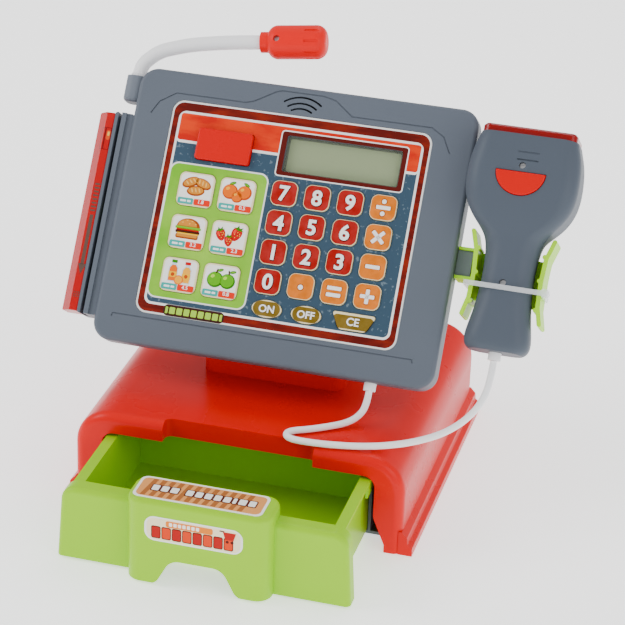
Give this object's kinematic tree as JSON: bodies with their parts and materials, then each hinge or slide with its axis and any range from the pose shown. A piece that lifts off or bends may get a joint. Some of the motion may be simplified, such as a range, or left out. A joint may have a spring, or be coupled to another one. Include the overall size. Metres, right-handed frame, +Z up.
{
  "type": "toy cash register",
  "caption": "Toy cash register: drawer in a base, leaning key panel with display, card reader, swivelling microphone and a corded hand scanner in a clip.",
  "frame": {"origin": "centre of the base's underside, on the table", "axes": "+Z up, -Y towards the user and the drawer front, +X towards the hand scanner"},
  "size_m": [0.2955, 0.2597, 0.252],
  "materials": {
    "red_shell": "satin moulded",
    "slate_shell": "satin moulded",
    "lime_shell": "satin moulded",
    "lime_drawer": "satin moulded",
    "red_stand": "satin moulded",
    "grey_shell": "fine satin",
    "contact_metal": "plated spring steel",
    "steel_screws": "zinc plated",
    "paper_labels": "printed gloss sticker",
    "printed_film": "printed gloss film",
    "display_window": "clear",
    "display_module": "reflective grey-green",
    "key_mat": "matt silicone",
    "board": "lacquered board",
    "speaker": "paper cone in a steel cup",
    "red_button": "gloss",
    "digit_keys": "printed gloss",
    "function_keys": "printed gloss",
    "picture_keys": "printed gloss",
    "red_lens": "translucent gloss",
    "green_plastic": "gloss",
    "white_tube": "smooth",
    "mic_head": "satin moulded",
    "trigger": "gloss",
    "dark_window": "translucent gloss",
    "white_gland": "matt",
    "clear_strap": "clear flexible plastic"
  },
  "bodies": {
    "register": {"base_shell": "red_shell", "base_plate": "grey_shell", "panel_stand": "red_stand", "battery_door": "red_stand", "battery_contacts": "contact_metal", "panel_front": "slate_shell", "panel_rear": "grey_shell", "printed_film": "printed_film", "lcd_window": "display_window", "lcd_module": "display_module", "key_mat": "key_mat", "circuit_board": "board", "speaker": "speaker", "case_screws": "steel_screws", "card_reader_frame": "grey_shell", "card_reader_lens": "red_lens", "panel_gland": "white_gland", "holder_clip": "lime_shell", "scanner_cord": "white_tube"},
    "drawer": {"drawer": "lime_drawer", "drawer_labels": "paper_labels"},
    "red_button": {"red_button": "red_button"},
    "card_switch": {"card_switch": "green_plastic"},
    "microphone": {"mic_stalk": "white_tube", "mic_head_front": "mic_head", "mic_head_rear": "mic_head", "mic_screw": "steel_screws"},
    "scanner": {"scanner_front": "slate_shell", "scanner_rear": "grey_shell", "scanner_window": "dark_window", "scanner_board": "board", "scanner_screws": "steel_screws", "scanner_gland": "white_gland", "retaining_strap": "clear_strap"},
    "trigger": {"scanner_trigger": "trigger"},
    "key_seven": {"key_seven": "digit_keys"},
    "key_eight": {"key_eight": "digit_keys"},
    "key_nine": {"key_nine": "digit_keys"},
    "key_divide": {"key_divide": "digit_keys"},
    "key_four": {"key_four": "digit_keys"},
    "key_five": {"key_five": "digit_keys"},
    "key_six": {"key_six": "digit_keys"},
    "key_times": {"key_times": "digit_keys"},
    "key_one": {"key_one": "digit_keys"},
    "key_two": {"key_two": "digit_keys"},
    "key_three": {"key_three": "digit_keys"},
    "key_minus": {"key_minus": "digit_keys"},
    "key_zero": {"key_zero": "digit_keys"},
    "key_point": {"key_point": "digit_keys"},
    "key_equals": {"key_equals": "digit_keys"},
    "key_plus": {"key_plus": "digit_keys"},
    "key_on": {"key_on": "function_keys"},
    "key_off": {"key_off": "function_keys"},
    "key_clear": {"key_clear": "function_keys"},
    "picture_key_bread": {"picture_key_bread": "picture_keys"},
    "picture_key_oranges": {"picture_key_oranges": "picture_keys"},
    "picture_key_burger": {"picture_key_burger": "picture_keys"},
    "picture_key_strawberries": {"picture_key_strawberries": "picture_keys"},
    "picture_key_juice": {"picture_key_juice": "picture_keys"},
    "picture_key_apples": {"picture_key_apples": "picture_keys"}
  },
  "joints": [
    {"name": "drawer_slide", "type": "slide", "parent": "register", "child": "drawer", "axis": [0, -1, 0], "range_m": [-0.054, 0.012]},
    {"name": "mic_swivel", "type": "hinge", "parent": "register", "child": "microphone", "pos_m": [-0.1088, 0.04595, 0.20751], "axis": [0, 0.5736, 0.8192], "range_deg": [-30, 30]},
    {"name": "scanner_release", "type": "slide", "parent": "register", "child": "scanner", "axis": [0, -0.8192, 0.5736], "range_m": [0, 0.03]},
    {"name": "trigger_press", "type": "slide", "parent": "scanner", "child": "trigger", "axis": [0, 0.8192, -0.5736], "range_m": [0, 0.0018], "stiffness_N_per_m": 300, "springref_m": -0.0008},
    {"name": "red_button_press", "type": "slide", "parent": "register", "child": "red_button", "axis": [0, 0.8192, -0.5736], "range_m": [0, 0.0018], "stiffness_N_per_m": 300, "springref_m": -0.0008},
    {"name": "card_switch_press", "type": "slide", "parent": "register", "child": "card_switch", "axis": [1, 0, 0], "range_m": [0, 0.0009], "stiffness_N_per_m": 300, "springref_m": -0.0008},
    {"name": "key_seven_press", "type": "slide", "parent": "register", "child": "key_seven", "axis": [0, 0.8192, -0.5736], "range_m": [0, 0.0009], "stiffness_N_per_m": 400, "springref_m": -0.0006},
    {"name": "key_eight_press", "type": "slide", "parent": "register", "child": "key_eight", "axis": [0, 0.8192, -0.5736], "range_m": [0, 0.0009], "stiffness_N_per_m": 400, "springref_m": -0.0006},
    {"name": "key_nine_press", "type": "slide", "parent": "register", "child": "key_nine", "axis": [0, 0.8192, -0.5736], "range_m": [0, 0.0009], "stiffness_N_per_m": 400, "springref_m": -0.0006},
    {"name": "key_divide_press", "type": "slide", "parent": "register", "child": "key_divide", "axis": [0, 0.8192, -0.5736], "range_m": [0, 0.0009], "stiffness_N_per_m": 400, "springref_m": -0.0006},
    {"name": "key_four_press", "type": "slide", "parent": "register", "child": "key_four", "axis": [0, 0.8192, -0.5736], "range_m": [0, 0.0009], "stiffness_N_per_m": 400, "springref_m": -0.0006},
    {"name": "key_five_press", "type": "slide", "parent": "register", "child": "key_five", "axis": [0, 0.8192, -0.5736], "range_m": [0, 0.0009], "stiffness_N_per_m": 400, "springref_m": -0.0006},
    {"name": "key_six_press", "type": "slide", "parent": "register", "child": "key_six", "axis": [0, 0.8192, -0.5736], "range_m": [0, 0.0009], "stiffness_N_per_m": 400, "springref_m": -0.0006},
    {"name": "key_times_press", "type": "slide", "parent": "register", "child": "key_times", "axis": [0, 0.8192, -0.5736], "range_m": [0, 0.0009], "stiffness_N_per_m": 400, "springref_m": -0.0006},
    {"name": "key_one_press", "type": "slide", "parent": "register", "child": "key_one", "axis": [0, 0.8192, -0.5736], "range_m": [0, 0.0009], "stiffness_N_per_m": 400, "springref_m": -0.0006},
    {"name": "key_two_press", "type": "slide", "parent": "register", "child": "key_two", "axis": [0, 0.8192, -0.5736], "range_m": [0, 0.0009], "stiffness_N_per_m": 400, "springref_m": -0.0006},
    {"name": "key_three_press", "type": "slide", "parent": "register", "child": "key_three", "axis": [0, 0.8192, -0.5736], "range_m": [0, 0.0009], "stiffness_N_per_m": 400, "springref_m": -0.0006},
    {"name": "key_minus_press", "type": "slide", "parent": "register", "child": "key_minus", "axis": [0, 0.8192, -0.5736], "range_m": [0, 0.0009], "stiffness_N_per_m": 400, "springref_m": -0.0006},
    {"name": "key_zero_press", "type": "slide", "parent": "register", "child": "key_zero", "axis": [0, 0.8192, -0.5736], "range_m": [0, 0.0009], "stiffness_N_per_m": 400, "springref_m": -0.0006},
    {"name": "key_point_press", "type": "slide", "parent": "register", "child": "key_point", "axis": [0, 0.8192, -0.5736], "range_m": [0, 0.0009], "stiffness_N_per_m": 400, "springref_m": -0.0006},
    {"name": "key_equals_press", "type": "slide", "parent": "register", "child": "key_equals", "axis": [0, 0.8192, -0.5736], "range_m": [0, 0.0009], "stiffness_N_per_m": 400, "springref_m": -0.0006},
    {"name": "key_plus_press", "type": "slide", "parent": "register", "child": "key_plus", "axis": [0, 0.8192, -0.5736], "range_m": [0, 0.0009], "stiffness_N_per_m": 400, "springref_m": -0.0006},
    {"name": "key_on_press", "type": "slide", "parent": "register", "child": "key_on", "axis": [0, 0.8192, -0.5736], "range_m": [0, 0.0009], "stiffness_N_per_m": 400, "springref_m": -0.0006},
    {"name": "key_off_press", "type": "slide", "parent": "register", "child": "key_off", "axis": [0, 0.8192, -0.5736], "range_m": [0, 0.0009], "stiffness_N_per_m": 400, "springref_m": -0.0006},
    {"name": "key_clear_press", "type": "slide", "parent": "register", "child": "key_clear", "axis": [0, 0.8192, -0.5736], "range_m": [0, 0.0009], "stiffness_N_per_m": 400, "springref_m": -0.0006},
    {"name": "picture_key_bread_press", "type": "slide", "parent": "register", "child": "picture_key_bread", "axis": [0, 0.8192, -0.5736], "range_m": [0, 0.0009], "stiffness_N_per_m": 400, "springref_m": -0.0006},
    {"name": "picture_key_oranges_press", "type": "slide", "parent": "register", "child": "picture_key_oranges", "axis": [0, 0.8192, -0.5736], "range_m": [0, 0.0009], "stiffness_N_per_m": 400, "springref_m": -0.0006},
    {"name": "picture_key_burger_press", "type": "slide", "parent": "register", "child": "picture_key_burger", "axis": [0, 0.8192, -0.5736], "range_m": [0, 0.0009], "stiffness_N_per_m": 400, "springref_m": -0.0006},
    {"name": "picture_key_strawberries_press", "type": "slide", "parent": "register", "child": "picture_key_strawberries", "axis": [0, 0.8192, -0.5736], "range_m": [0, 0.0009], "stiffness_N_per_m": 400, "springref_m": -0.0006},
    {"name": "picture_key_juice_press", "type": "slide", "parent": "register", "child": "picture_key_juice", "axis": [0, 0.8192, -0.5736], "range_m": [0, 0.0009], "stiffness_N_per_m": 400, "springref_m": -0.0006},
    {"name": "picture_key_apples_press", "type": "slide", "parent": "register", "child": "picture_key_apples", "axis": [0, 0.8192, -0.5736], "range_m": [0, 0.0009], "stiffness_N_per_m": 400, "springref_m": -0.0006}
  ]
}
